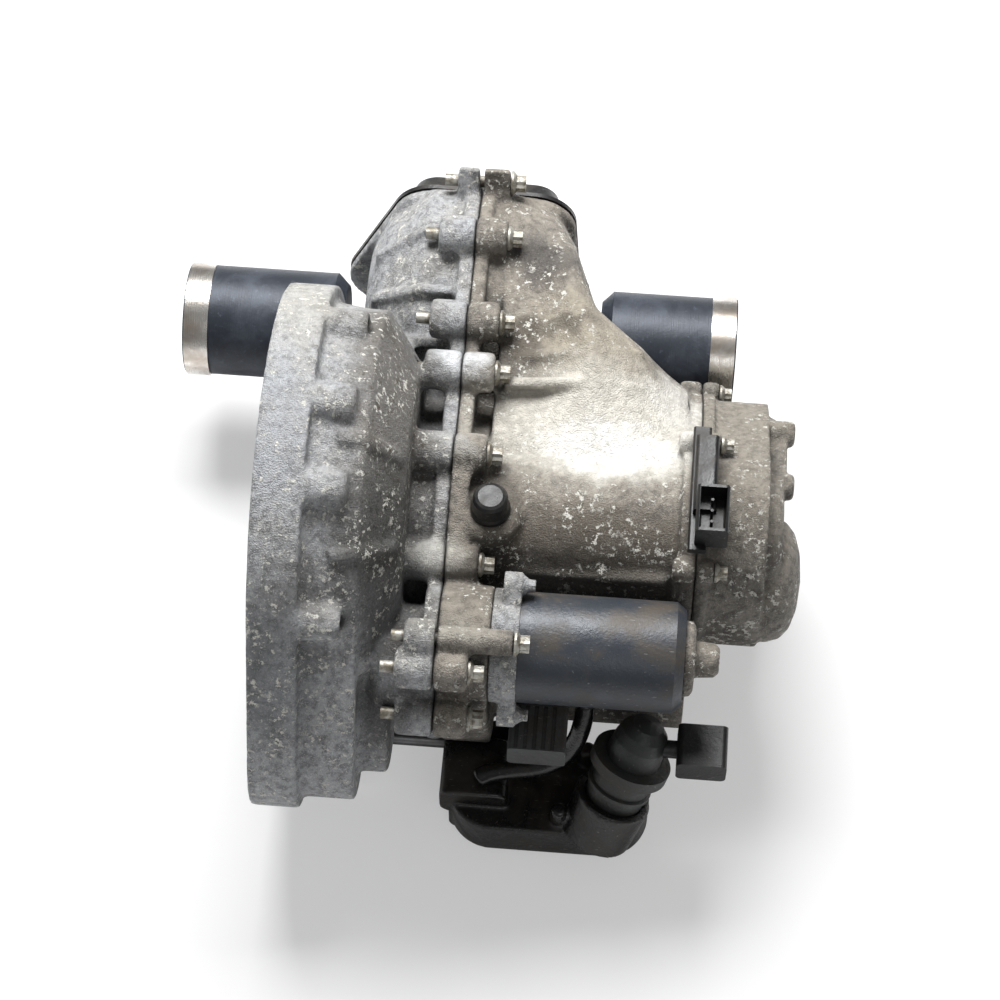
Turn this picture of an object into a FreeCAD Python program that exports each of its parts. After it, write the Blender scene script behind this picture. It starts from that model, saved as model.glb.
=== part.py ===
import FreeCAD, Part
import math
import os

# Automated manual transmission for a small transverse engine.
# Frame: +X along the shafts away from the engine, +Y to the rear (differential side), +Z up.
# The origin is on the input shaft's axis, in the engine mating face. Millimetres and degrees.
# Stations along X are drawn from a plane ENGINE_FACE before that face; all is moved back by it at the end.
V = FreeCAD.Vector

# Clearances
RUN = 0.08            # radial running fit of a shaft or bush
SLIDE = 0.3           # free side of a sliding or turning piece
SEAT = 0.02           # radial fit of a seated, unmoving piece

# Teeth
MODULE = 3.0
SHIFT_MODULE = 2.0
TOOTH_SHARE = 0.36    # tooth width over the pitch, at the pitch circle
BEVEL_SHARE = 0.34
ADDENDUM = 0.85
DEDENDUM = 1.2
GEAR_PAIRS = {
    "first": (12, 38),
    "second": (17, 33),
    "third": (21, 29),
    "fourth": (25, 25),
    "fifth": (29, 21),
}
REVERSE_TEETH = (12, 18, 32)
FINAL_TEETH = (16, 65)
ARMATURE_TEETH = 9
WHEEL_TEETH = 36
STEP_TEETH = 10
DRUM_TEETH = 44
SIDE_TEETH = 16
SPIDER_TEETH = 10

# Axes across the shafts, as (y, z)
INPUT = (0.0, 0.0)
DIFF = (182.0, -56.0)
ROD = (-4.0, -98.0)
DRUM = (-66.0, -80.0)
MOTOR = (-98.0, 12.0)
STARTER = (-135.0, -50.0)


def meet(a, b, ra, rb, side):
    """Point at ra from a and rb from b, to the left (+1) or right (-1) of the line from a to b."""
    dy, dz = b[0] - a[0], b[1] - a[1]
    gap = math.hypot(dy, dz)
    along = (ra * ra - rb * rb + gap * gap) / (2 * gap)
    off = side * math.sqrt(ra * ra - along * along)
    uy, uz = dy / gap, dz / gap
    return (a[0] + along * uy - off * uz, a[1] + along * uz + off * uy)


def centres(first, second, module=MODULE):
    return module * (first + second) / 2


PAIR_CENTRES = centres(*GEAR_PAIRS["first"])
OUTPUT = meet(INPUT, DIFF, PAIR_CENTRES, centres(*FINAL_TEETH), -1)
REVERSE = meet(INPUT, OUTPUT, centres(*REVERSE_TEETH[:2]), centres(*REVERSE_TEETH[1:]), -1)
WHEEL = meet(MOTOR, DRUM, centres(ARMATURE_TEETH, WHEEL_TEETH, SHIFT_MODULE),
             centres(STEP_TEETH, DRUM_TEETH, SHIFT_MODULE), -1)

# Stations along X
ENGINE_FACE = 20.0
RIM_END = 52.0
BAND_END = 88.0
STARTER_END = 80.0
BELL_WALL = 104.0
SPLIT = 138.0
COVER_FACE = 300.0
WALL = 5.0
SPLIT_FLANGE = 10.0

# Casing radii about the axes
BELL_RADIUS = 150.0
BELL_CAVITY = 128.0
CHAMBER_RADIUS = 110.0
INPUT_CASE = 54.0
OUTPUT_CASE = 66.0
ROD_CASE = 20.0
DRUM_CASE = 34.0
STARTER_LOBE = 55.0
STARTER_BORE = 34.0
CHAMBER_CUT = 245.0
REST_PLANE = DIFF[1] - CHAMBER_RADIUS

# Bolts
BOSS_RADIUS = 13.5
ENGINE_CIRCLE = 138.0
ENGINE_HOLE = 5.5
ENGINE_ANGLES = (60.0, 150.0, 240.0, 330.0)
EXTRA_BOSS_ANGLES = (90.0, 180.0 - 66.0)
BOLT = 4.0
BOLT_HEAD = 6.0
BOLT_FLANGE = 8.5
COVER_BOLT = 3.0
HEAD_ROOM = BOLT_FLANGE + 0.5

# Shafts
INPUT_SHAFT = 12.5
SPLINE_RADIUS = 9.0
SPLINE_TIP = ENGINE_FACE - 14
SPLINE_END = 44.0
OUTPUT_SHAFT = 14.0
REVERSE_SHAFT = 8.0
GEAR_WIDTH = 12.0
PINION_SPAN = (126.0, 152.0)
RING_SPAN = (128.0, 150.0)
REVERSE_GEAR_AT = max(PINION_SPAN[1], RING_SPAN[1] + 2) + 3
FIRST_HUB_AT = REVERSE_GEAR_AT + GEAR_WIDTH + 10
HUB_WIDTH = 14.0
SHIFT_TRAVEL = 8.0
HUB_RADIUS = 30.0
SLEEVE_RADIUS = 40.0
SLEEVE_GROOVE = 34.0
FORK_THICK = 5.0
DOG_RADIUS = 29.0
DOG_LENGTH = 7.0

# Places of the gears along the shafts, worked out from left to right
HUB_GAP = 10.0
NEIGHBOUR_GAP = 3.0
FIRST_AT = FIRST_HUB_AT + HUB_WIDTH + HUB_GAP
SECOND_AT = FIRST_AT + GEAR_WIDTH + NEIGHBOUR_GAP
SECOND_HUB_AT = SECOND_AT + GEAR_WIDTH + HUB_GAP
THIRD_AT = SECOND_HUB_AT + HUB_WIDTH + HUB_GAP
FOURTH_AT = THIRD_AT + GEAR_WIDTH + NEIGHBOUR_GAP
THIRD_HUB_AT = FOURTH_AT + GEAR_WIDTH + HUB_GAP
FIFTH_AT = THIRD_HUB_AT + HUB_WIDTH + HUB_GAP
GEAR_AT = {
    "first": FIRST_AT,
    "second": SECOND_AT,
    "third": THIRD_AT,
    "fourth": FOURTH_AT,
    "fifth": FIFTH_AT,
}
HUBS_AT = {
    "first_reverse": FIRST_HUB_AT,
    "second_third": SECOND_HUB_AT,
    "fourth_fifth": THIRD_HUB_AT,
}

# Bearings
BEARING_WIDTH = 14.0
BEARING_OUTER = 31.0
ROLLERS = 9
DIFF_BEARING_WIDTH = 12.0
LEFT_BEARING_AT = 108.0
RIGHT_BEARING_AT = FIFTH_AT + GEAR_WIDTH + 2.0

# Differential
CARRIER_CENTRE = 125.0
CARRIER_RADIUS = 46.0
CARRIER_HALF = 27.0
CARRIER_NECK = 22.0
DIFF_BEARING_AT = 79.0
DIFF_BEARING_OUT = 38.0
NECK_BORE = 24.0
SPIDER_PIN = 5.5
CUP_RADIUS = 39.0
CUP_STUB = 14.0
CUP_DEPTH = 70.0
CUP_BORE = 17.0
TRACK_RADIUS = 10.5
TRACK_CIRCLE = 22.0
LEFT_CUP = (-68.0, 45.0)
RIGHT_CUP = (322.0, 226.0)
BAND_WIDTH = 17.0
BAND_RADIUS = 40.6

# Shift drive
MOTOR_RADIUS = 36.0
MOTOR_SHEET = 2.0
MOTOR_SPAN = (190.0, 296.0)
DRUM_RADIUS = 24.0
DRUM_SPAN = (176.0, 284.0)
DRUM_SWING = 52.0
GROOVE_DEPTH = 5.0
FORK_PIN = 3.0
DRUM_JOURNAL = 9.0
ROD_RADIUS = 6.0
DRIVE_END = 172.0
MOTOR_EARS = [(-73.0, 49.0), (-134.0, -14.0)]
PIN_AT = {"first_reverse": 192.0, "second_third": 238.0, "fourth_fifth": 268.0}

# Clutch release: a lever on a ball stud, pushed at its lower end by the actuator's rod
LEVER_ANGLE = 236.0
PIVOT_RADIUS = 52.0
LEVER_REACH = 172.0
LEVER_AT = 74.0
LEVER_THICK = 6.0
LEVER_HALF = 10.0
LEVER_RING = (24.0, 34.0)
STUD_BALL = 7.0
PAD_RADIUS = 5.0
PAD_PROUD = 5.5
RELEASE_WIDTH = 14.0
RELEASE_RADIUS = 34.0
GUIDE_RADIUS = 17.0
PUSH_ROD = 5.0

# Lower actuator's foot and the direction of its axis
ACT_FOOT = V(256, -150, -104)
ACT_AXIS = V(0.30, 0.43, 0.85)
ACT_RADIUS = 20.0

# Dome on the left of the shift drive
BUMP = (-104.0, -6.0)


# Small builders of shapes

def cyl(radius, x0, x1, axis=INPUT):
    return Part.makeCylinder(radius, x1 - x0, V(x0, axis[0], axis[1]), V(1, 0, 0))


def tube(outer, inner, x0, x1, axis=INPUT):
    return cyl(outer, x0, x1, axis).cut(cyl(inner, x0 - 1, x1 + 1, axis))


def turned(profile, axis=INPUT):
    """Solid of revolution about an axis along X, from (x, radius) points."""
    points = [V(x, axis[0] + r, axis[1]) for x, r in profile]
    face = Part.Face(Part.makePolygon(points + points[:1]))
    return face.revolve(V(0, axis[0], axis[1]), V(1, 0, 0), 360)


def around(axis, radius, angle):
    """Point at a radius and angle (from +Y towards +Z) about an axis."""
    a = math.radians(angle)
    return (axis[0] + radius * math.cos(a), axis[1] + radius * math.sin(a))


def belt(circles, x):
    """Closed outline at x round circles given as (centre, radius) in turn, anticlockwise seen from +X."""
    edges, ends = [], []
    for (a, ra), (b, rb) in zip(circles, circles[1:] + circles[:1]):
        dy, dz = b[0] - a[0], b[1] - a[1]
        gap = math.hypot(dy, dz)
        lean = (ra - rb) / gap
        flat = math.sqrt(1 - lean * lean)
        ny = lean * dy / gap + flat * dz / gap
        nz = lean * dz / gap - flat * dy / gap
        start = V(x, a[0] + ra * ny, a[1] + ra * nz)
        end = V(x, b[0] + rb * ny, b[1] + rb * nz)
        edges.append(Part.LineSegment(start, end).toShape())
        ends.append((start, end))
    for i, (centre, radius) in enumerate(circles):
        arrive, leave = ends[i - 1][1], ends[i][0]
        a0 = math.atan2(arrive.z - centre[1], arrive.y - centre[0])
        a1 = math.atan2(leave.z - centre[1], leave.y - centre[0])
        if a1 < a0:
            a1 += 2 * math.pi
        mid = (a0 + a1) / 2
        middle = V(x, centre[0] + radius * math.cos(mid), centre[1] + radius * math.sin(mid))
        edges.append(Part.Arc(arrive, middle, leave).toShape())
    return Part.Wire(Part.__sortEdges__(edges))


def belt_solid(circles, x0, x1, offset=0.0):
    grown = [(c, r + offset) for c, r in circles]
    return Part.Face(belt(grown, x0)).extrude(V(x1 - x0, 0, 0))


def fused(shapes):
    return shapes[0].multiFuse(shapes[1:]).removeSplitter() if len(shapes) > 1 else shapes[0]


def block(x0, x1, y0, y1, z0, z1, radius=0.0):
    """Box with its edges along Y rounded."""
    box = Part.makeBox(x1 - x0, y1 - y0, z1 - z0, V(x0, y0, z0))
    if radius:
        along_y = [e for e in box.Edges if abs(e.tangentAt(e.FirstParameter).y) > 0.9]
        box = box.makeFillet(radius, along_y)
    return box


NODES = {}


def put(name, *solids):
    NODES[name] = solids[0] if len(solids) == 1 else Part.makeCompound(list(solids))


# Gears

def toothed_wire(teeth, module, x, axis, phase, share=TOOTH_SHARE, scale=1.0):
    """Outline of a straight-flanked toothed wheel; one tooth's middle is at the angle phase."""
    pitch = module * teeth / 2
    tip, root = pitch + ADDENDUM * module, pitch - DEDENDUM * module
    step = 360.0 / teeth
    half = share * step / 2
    tip_half, root_half = 0.62 * half, 1.42 * half
    points = []
    for i in range(teeth):
        middle = phase + i * step
        for radius, turn in ((root, -root_half), (tip, -tip_half), (tip, tip_half), (root, root_half)):
            y, z = around(axis, radius * scale, middle + turn)
            points.append(V(x, y, z))
    return Part.makePolygon(points + points[:1])


def spur(teeth, x0, x1, axis, phase, bore=0.0, module=MODULE):
    body = Part.Face(toothed_wire(teeth, module, x0, axis, phase)).extrude(V(x1 - x0, 0, 0))
    return body.cut(cyl(bore, x0 - 1, x1 + 1, axis)) if bore else body


def direction(a, b):
    return math.degrees(math.atan2(b[1] - a[1], b[0] - a[0]))


def gap_phase(teeth, angle):
    """Phase that turns a gap between teeth to the given angle."""
    return angle + 180.0 / teeth


def bearing(axis, shaft, outer, x0, width=BEARING_WIDTH):
    """Roller bearing: (outer ring with its rollers, inner ring), the inner one turning with its shaft."""
    race = (outer - shaft) * 0.26
    roller = (outer - shaft) / 2 - race
    middle = (shaft + outer) / 2
    outer_ring = tube(outer, outer - race, x0, x0 + width, axis)
    inner_ring = tube(shaft + race, shaft + SEAT, x0, x0 + width, axis)
    rollers = [cyl(roller - RUN, x0 + 1, x0 + width - 1, around(axis, middle, i * 360.0 / ROLLERS))
               for i in range(ROLLERS)]
    return [outer_ring] + rollers, [inner_ring]


# Casing outlines: each circle wraps one shaft
DRIVE_CASE = (38.0, 40.0, 53.0)
DRIVE_BELT = list(zip((MOTOR, WHEEL, DRUM), DRIVE_CASE))
COVER_SWELL = (-10.0, -26.0)
COVER_BELT = [(INPUT, 58.0), (COVER_SWELL, 50.0), (ROD, 16.0), (OUTPUT, 62.0)]
COVER_RIM = 4.0
DOME = (-16.0, -24.0)
COVER_KNOBS = [(80.0, 6.0), (34.0, 14.0)]
GEAR_BELT = [(INPUT, INPUT_CASE), (DRUM, DRUM_CASE), (ROD, ROD_CASE), (OUTPUT, OUTPUT_CASE)]
FULL_BELT = [(INPUT, INPUT_CASE), (DRUM, DRUM_CASE), (DIFF, CHAMBER_RADIUS)]

TOP_LUG = around(DIFF, CHAMBER_RADIUS + 11, 60.0)
LONG_BOSS = around(MOTOR, DRIVE_CASE[0] + HEAD_ROOM, 115.0)
SPLIT_BOLTS = [
    around(DIFF, CHAMBER_RADIUS + HEAD_ROOM, 88.0),
    (117.0, INPUT_CASE + HEAD_ROOM),
    (77.0, INPUT_CASE + HEAD_ROOM),
    (14.0, INPUT_CASE + HEAD_ROOM),
    around(INPUT, INPUT_CASE + HEAD_ROOM, 146.0),
    around(MOTOR, DRIVE_CASE[0] + HEAD_ROOM, 140.0),
    around(WHEEL, DRIVE_CASE[1] + HEAD_ROOM + 13, 150.0),
    around(DRUM, DRIVE_CASE[2] + HEAD_ROOM, 300.0),
    (40.0, -141.0),
    (106.0, -150.0),
]
BOSS_END = 160.0
LONG_END = 188.0
LONG_BOSS_RADIUS = 12.0
BESIDE_COVER = 7.5
COVER_BOLTS = [
    around(COVER_BELT[circle][0], COVER_BELT[circle][1] + BESIDE_COVER, angle)
    for circle, angle in ((0, 52.0), (0, 140.0), (1, 215.0), (2, 250.0), (3, 290.0), (3, 15.0))
]

# Rear opening, as ((x, z), radius) circles, and the pan over it
REAR_BELT = [
    ((106.0, 2.0), 32.0),
    ((172.0, 0.0), 32.0),
    ((181.0, -80.0), 28.0),
    ((172.0, -120.0), 26.0),
    ((98.0, -120.0), 26.0),
    ((68.0, -72.0), 28.0),
]
REAR_FLANGE = 8.0
PAN_DEPTH = 20.0
PAN_SHEET = 2.5

# Shoulder over the differential, as (x, centre, radius) outlines ruled together, and the circle they join
SHOULDER = [
    (160.0, DIFF, CHAMBER_RADIUS),
    (186.0, (172.0, -50.0), 103.0),
    (206.0, (140.0, -16.0), 80.0),
    (223.0, (100.0, 8.0), 59.0),
    (256.0, (85.0, -2.0), 52.0),
    (290.0, (62.0, -24.0), 56.0),
]
SHOULDER_ROOT = (28.0, 6.0)
SHOULDER_ROOT_RADIUS = 41.0


def spoke(x0, x1, r0, r1, half, angle, axis=INPUT):
    """Flat bar lying along a radius at an angle about an axis."""
    bar = Part.makeBox(x1 - x0, r1 - r0, 2 * half, V(x0, r0, -half))
    bar.rotate(V(0, 0, 0), V(1, 0, 0), angle)
    bar.translate(V(0, axis[0], axis[1]))
    return bar


def rear_outline(y, inset):
    """Outline of the rear opening in the plane at y, drawn as a belt and turned to face it."""
    circles = [((-x, z), r - inset) for (x, z), r in REAR_BELT]
    wire = belt(circles, y)
    wire.rotate(V(0, 0, 0), V(0, 0, 1), 90)
    return wire


def rear_flange():
    outlines = [rear_outline(y, 0) for y in (CHAMBER_CUT - REAR_FLANGE, CHAMBER_CUT)]
    return Part.makeLoft(outlines, True, True)


def shoulder(inset):
    """Lobe behind the shafts that shrinks and moves away from the right cup, ruled between outlines."""
    rings = []
    for x, centre, radius in SHOULDER:
        circles = [(SHOULDER_ROOT, SHOULDER_ROOT_RADIUS - inset), (centre, radius - inset)]
        rings.append(belt(circles, x))
    return Part.makeLoft(rings, True, True)


def engine_holes(x0, x1):
    return [cyl(ENGINE_HOLE, x0, x1, around(INPUT, ENGINE_CIRCLE, a)) for a in ENGINE_ANGLES]


def split_holes(x0, x1):
    return [cyl(BOLT + SLIDE, x0, x1, c) for c in SPLIT_BOLTS + [TOP_LUG, LONG_BOSS]]


def cover_holes(x0, x1):
    return [cyl(COVER_BOLT + SLIDE, x0, x1, c) for c in COVER_BOLTS]


def boss(x0, x1, centre, radius=BOSS_RADIUS):
    """Round cast boss with both rims chamfered."""
    rim = 2.0
    return turned([(x0, 0), (x0, radius - rim), (x0 + rim, radius),
                   (x1 - rim, radius), (x1, radius - rim), (x1, 0)], centre)


def fin(profile, half, angle, axis=INPUT):
    """Flat rib lying in a plane through an axis, drawn as (x, radius) points."""
    points = [V(x, r, -half) for x, r in profile]
    rib = Part.Face(Part.makePolygon(points + points[:1])).extrude(V(0, 0, 2 * half))
    rib.rotate(V(0, 0, 0), V(1, 0, 0), angle)
    rib.translate(V(0, axis[0], axis[1]))
    return rib


def clutch_housing():
    bell = turned([(ENGINE_FACE, 0), (ENGINE_FACE, BELL_RADIUS - 1.5), (ENGINE_FACE + 1.5, BELL_RADIUS),
                   (RIM_END - 2, BELL_RADIUS), (RIM_END, BELL_RADIUS - 2), (RIM_END, 139), (BAND_END, 134),
                   (BELL_WALL + 8, 99), (BELL_WALL + 8, 0)])
    lobe = belt_solid([(INPUT, BELL_RADIUS), (STARTER, STARTER_LOBE)], ENGINE_FACE, RIM_END)
    band = belt_solid([(INPUT, 136.0), (STARTER, STARTER_LOBE - 8)], RIM_END, BAND_END)
    back = belt_solid([(INPUT, 96.0), ((-128.0, -50.0), 34.0)], BAND_END, BELL_WALL + 4)
    plate = belt_solid(GEAR_BELT, BELL_WALL, SPLIT)
    chamber = turned([(62, 0), (62, 60), (74, 84), (BELL_WALL, CHAMBER_RADIUS), (SPLIT, CHAMBER_RADIUS),
                      (SPLIT, 0)], DIFF)
    flange = belt_solid(FULL_BELT, SPLIT - SPLIT_FLANGE, SPLIT, 6)
    drive_flange = belt_solid(DRIVE_BELT, SPLIT - SPLIT_FLANGE, SPLIT)
    bump = turned([(92, 0), (92, 20), (95, 30), (100, 35), (106, 37), (SPLIT, 37), (SPLIT, 0)], BUMP)
    bosses = [boss(RIM_END - 3, 79, around(INPUT, ENGINE_CIRCLE - 2, a))
              for a in ENGINE_ANGLES + EXTRA_BOSS_ANGLES]
    ears = [boss(113, SPLIT, c) for c in SPLIT_BOLTS] + [boss(118, SPLIT, LONG_BOSS, LONG_BOSS_RADIUS)]
    ears.append(spoke(121, SPLIT - 1.5, CHAMBER_RADIUS - 5, CHAMBER_RADIUS + 24, 11, 60.0, DIFF))
    cone_rib = [(64, 50), (68, 84), (BELL_WALL, CHAMBER_RADIUS + 7), (130, CHAMBER_RADIUS + 7), (130, 90)]
    fins = [fin(cone_rib, 3.5, a, DIFF) for a in (84.0, 108.0, 126.0)]
    back_rib = [(70, 120), (70, 141), (BAND_END, 138), (BELL_WALL + 6, 108), (BELL_WALL + 6, 90)]
    fins += [fin(back_rib, 4, a) for a in (100.0, 131.0, 170.0, 222.0)]
    starter_rib = [(80, 120), (80, 172), (BAND_END, 168), (BELL_WALL + 8, 112), (BELL_WALL + 8, 90)]
    fins.append(fin(starter_rib, 4.5, 200.0))
    rear = rear_flange()
    left_half = Part.makeBox(SPLIT, 400, 400, V(0, 0, -250))
    foot = Part.makeBox(RIM_END - ENGINE_FACE, 50, 60, V(ENGINE_FACE, -25, REST_PLANE))
    outer = fused([bell, lobe, band, back, plate, chamber, flange, drive_flange, bump, foot,
                   rear.common(left_half)] + bosses + ears + fins)
    cavity = turned([(-1, 0), (-1, BELL_CAVITY), (60, 122), (98, 62), (98, 0)])
    gear_room = belt_solid(GEAR_BELT, BELL_WALL + 8, SPLIT + 1, -WALL)
    diff_room = turned([(91, 0), (91, 80), (108, CHAMBER_RADIUS - 6), (SPLIT + 1, CHAMBER_RADIUS - 6),
                        (SPLIT + 1, 0)], DIFF)
    outer = outer.cut(fused([gear_room, diff_room]))
    outer = outer.cut(cavity)
    hubs = [cyl(BEARING_OUTER + 6, 98, LEFT_BEARING_AT + BEARING_WIDTH, axis) for axis in (INPUT, OUTPUT)]
    neck = cyl(DIFF_BEARING_OUT + 6, 60, 91, DIFF)
    idler_boss = cyl(13, 108, 122, REVERSE)
    outer = fused([outer, neck, idler_boss] + hubs)
    cuts = [cyl(BEARING_OUTER + SEAT, LEFT_BEARING_AT, SPLIT, axis) for axis in (INPUT, OUTPUT)]
    cuts += [cyl(INPUT_SHAFT + 3, 90, 120), cyl(DIFF_BEARING_OUT + SEAT, DIFF_BEARING_AT, 93, DIFF),
             cyl(NECK_BORE, 50, 90, DIFF), cyl(REVERSE_SHAFT + SEAT, 104, 130, REVERSE),
             cyl(CUP_RADIUS + 7, -1, 56, DIFF), cyl(STARTER_BORE, -1, STARTER_END, STARTER),
             spoke(40, 94, 62, 190, 17, LEVER_ANGLE), cyl(4 + SEAT, 134, SPLIT + 1, WHEEL),
             cyl(DRUM_JOURNAL + RUN, 131, SPLIT + 1, DRUM), cyl(ROD_RADIUS + SEAT, 106, 114, ROD),
             cyl(6, 100, SPLIT + 1, around(INPUT, LEVER_REACH, LEVER_ANGLE)),
             Part.makeBox(300, 200, 500, V(-10, CHAMBER_CUT, -300)),
             Part.makeBox(300, 700, 100, V(-10, -300, REST_PLANE - 100))]
    for tool in cuts + engine_holes(-1, 80) + split_holes(100, SPLIT + 1):
        outer = outer.cut(tool)
    put("clutch_housing", outer)


def gear_case():
    body = belt_solid(GEAR_BELT, SPLIT, COVER_FACE)
    flange = belt_solid(FULL_BELT, SPLIT, SPLIT + SPLIT_FLANGE, 6)
    drive = belt_solid(DRIVE_BELT, SPLIT, DRIVE_END)
    barrel = cyl(CHAMBER_RADIUS, SPLIT, SHOULDER[0][0] + 1, DIFF)
    neck = cyl(DIFF_BEARING_OUT + 6, 150, 216, DIFF)
    ears = [boss(SPLIT, BOSS_END, c) for c in SPLIT_BOLTS] + [boss(SPLIT, LONG_END, LONG_BOSS, BOLT_FLANGE)]
    ears.append(spoke(SPLIT + 1.5, BOSS_END - 2, CHAMBER_RADIUS - 5, CHAMBER_RADIUS + 24, 11, 60.0, DIFF))
    web = belt_solid([(SPLIT_BOLTS[4], 10.0), (SPLIT_BOLTS[3], 10.0)], SPLIT, SPLIT + 14)
    pocket = belt_solid([((-30.0, 47.0), 5.0), ((-8.0, 56.0), 6.0)], SPLIT + 5, SPLIT + 15)
    cover_bosses = [boss(COVER_FACE - 16, COVER_FACE, c, 8.0) for c in COVER_BOLTS]
    rear = rear_flange()
    right_half = Part.makeBox(200, 400, 400, V(SPLIT, 0, -250))
    cover_flange = belt_solid(COVER_BELT, COVER_FACE - 12, COVER_FACE, COVER_RIM)
    vent = turned_up((165, -23, 40), [(0, 0), (0, 21), (12, 21), (16, 17), (16, 0)])
    outer = fused([body, flange, drive, barrel, neck, shoulder(0), cover_flange, vent,
                   rear.common(right_half)] + ears + [web.cut(pocket)] + cover_bosses)
    room = belt_solid(GEAR_BELT, SPLIT - 1, COVER_FACE - 10, -WALL)
    mouth = belt_solid(COVER_BELT, COVER_FACE - 11, COVER_FACE + 1, -WALL)
    barrel_room = cyl(CHAMBER_RADIUS - 6, SPLIT - 1, SHOULDER[0][0] + 1, DIFF)
    drum_room = cyl(48, SPLIT - 1, 153, DRUM)
    step_room = cyl(14, SPLIT - 1, 156, WHEEL)
    wheel_room = cyl(WHEEL_TEETH * SHIFT_MODULE / 2 + 3, 154, 167, WHEEL)
    pinion_room = cyl(ARMATURE_TEETH * SHIFT_MODULE / 2 + 3, 153, 169, MOTOR)
    for hollow in (room, mouth, barrel_room, shoulder(WALL), drum_room, step_room, wheel_room, pinion_room):
        outer = outer.cut(hollow)
    outer = fused([outer, cyl(DIFF_BEARING_OUT + 6, 152, 216, DIFF)])
    right = CARRIER_CENTRE + CARRIER_HALF + 1
    cuts = [cyl(DIFF_BEARING_OUT + SEAT, 151, right + DIFF_BEARING_WIDTH, DIFF),
            cyl(NECK_BORE, 160, 220, DIFF), cyl(4 + SEAT, 150, DRIVE_END + 1, WHEEL),
            cyl(5, 150, DRIVE_END + 1, MOTOR), cyl(DRUM_JOURNAL + RUN, 289, 296, DRUM),
            Part.makeBox(300, 200, 500, V(100, CHAMBER_CUT, -300)),
            Part.makeBox(300, 700, 100, V(100, -300, REST_PLANE - 100))]
    for tool in cuts + split_holes(SPLIT - 1, LONG_END + 1) + cover_holes(COVER_FACE - 20, COVER_FACE + 1):
        outer = outer.cut(tool)
    put("gear_case", outer)


def end_cover():
    body = belt_solid(COVER_BELT, COVER_FACE, 345)
    flange = belt_solid(COVER_BELT, COVER_FACE, COVER_FACE + 8, COVER_RIM)
    input_dome = fused([
        turned([(344, 0), (344, 42), (351, 42), (360, 39), (366, 32), (370, 20), (372, 0)], DOME),
        turned([(344, 0), (344, 40), (352, 39), (356, 34), (356, 0)]),
    ])
    output_dome = turned([(345, 0), (345, 54), (352, 51), (357, 42), (359, 28), (359, 0)], OUTPUT)
    knobs = [boss(340, 363, c, 9.0) for c in COVER_KNOBS]
    web = belt_solid([(c, 4.0) for c in COVER_KNOBS], 340, 358)
    rims = [boss(COVER_FACE, COVER_FACE + 12, c, 8.0) for c in COVER_BOLTS]
    outer = fused([body, flange, input_dome, output_dome, web] + knobs + rims)
    room = belt_solid(COVER_BELT, COVER_FACE - 1, 336, -WALL)
    outer = outer.cut(room)
    for axis in (INPUT, OUTPUT):
        outer = outer.cut(cyl(BEARING_OUTER + SEAT, 335, RIGHT_BEARING_AT + BEARING_WIDTH + SLIDE, axis))
    for tool in [cyl(ROD_RADIUS + SEAT, 330, 341, ROD)] + cover_holes(COVER_FACE - 1, COVER_FACE + 13):
        outer = outer.cut(tool)
    put("end_cover", outer)


def ring_bulge(inset):
    """Round swelling of the rear pan over the ring gear."""
    tip = MODULE * (FINAL_TEETH[1] / 2 + ADDENDUM)
    r, x0, x1 = tip + 3 + PAN_SHEET - inset, RING_SPAN[0] - 14 + inset, RING_SPAN[1] + 16 - inset
    return turned([(x0, 0), (x0, 70), (x0 + 4, r - 12), (x0 + 10, r - 2), (x0 + 14, r),
                   (x1 - 14, r), (x1 - 10, r - 2), (x1 - 4, r - 12), (x1, 70), (x1, 0)], DIFF)


def diff_cover():
    base = Part.makeLoft([rear_outline(CHAMBER_CUT, 0), rear_outline(CHAMBER_CUT + 3, 0)], True, True)
    dish = Part.makeLoft([rear_outline(CHAMBER_CUT, 6), rear_outline(CHAMBER_CUT + PAN_DEPTH, 14)],
                         True, True)
    hollow = Part.makeLoft([rear_outline(CHAMBER_CUT - 1, 6 + PAN_SHEET),
                            rear_outline(CHAMBER_CUT + PAN_DEPTH - PAN_SHEET, 14 + PAN_SHEET)], True, True)
    behind = Part.makeBox(400, 100, 500, V(0, CHAMBER_CUT, -300))
    skin = fused([base, dish, ring_bulge(0).common(behind)])
    put("diff_cover", skin.cut(hollow).cut(ring_bulge(PAN_SHEET)))


def bolt(x_head, x_end, axis, size=1.0):
    """Flanged star-head bolt along X with its head at the right; the size scales it from the large one."""
    shank = cyl(BOLT * size, x_end, x_head, axis)
    flange = BOLT_FLANGE * size
    collar = turned([(x_head, 0), (x_head, flange), (x_head + 1.5, flange), (x_head + 3.5, BOLT_HEAD * size),
                     (x_head + 3.5, 0)], axis)
    corners = [around(axis, BOLT_HEAD * size * (1.0 if i % 2 else 0.84), 22.5 * i) for i in range(16)]
    star = Part.Face(Part.makePolygon([V(x_head + 3, y, z) for y, z in corners + corners[:1]]))
    return fused([shank, collar, star.extrude(V(7 * size, 0, 0))])


def fasteners():
    bolts = [bolt(BOSS_END, 104, c) for c in SPLIT_BOLTS]
    bolts += [bolt(BOSS_END - 2, 112, TOP_LUG), bolt(LONG_END, 110, LONG_BOSS, 0.95)]
    put("split_bolts", *bolts)
    small = COVER_BOLT / BOLT
    put("cover_bolts", *[bolt(COVER_FACE + 12, COVER_FACE - 14, c, small) for c in COVER_BOLTS])


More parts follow.
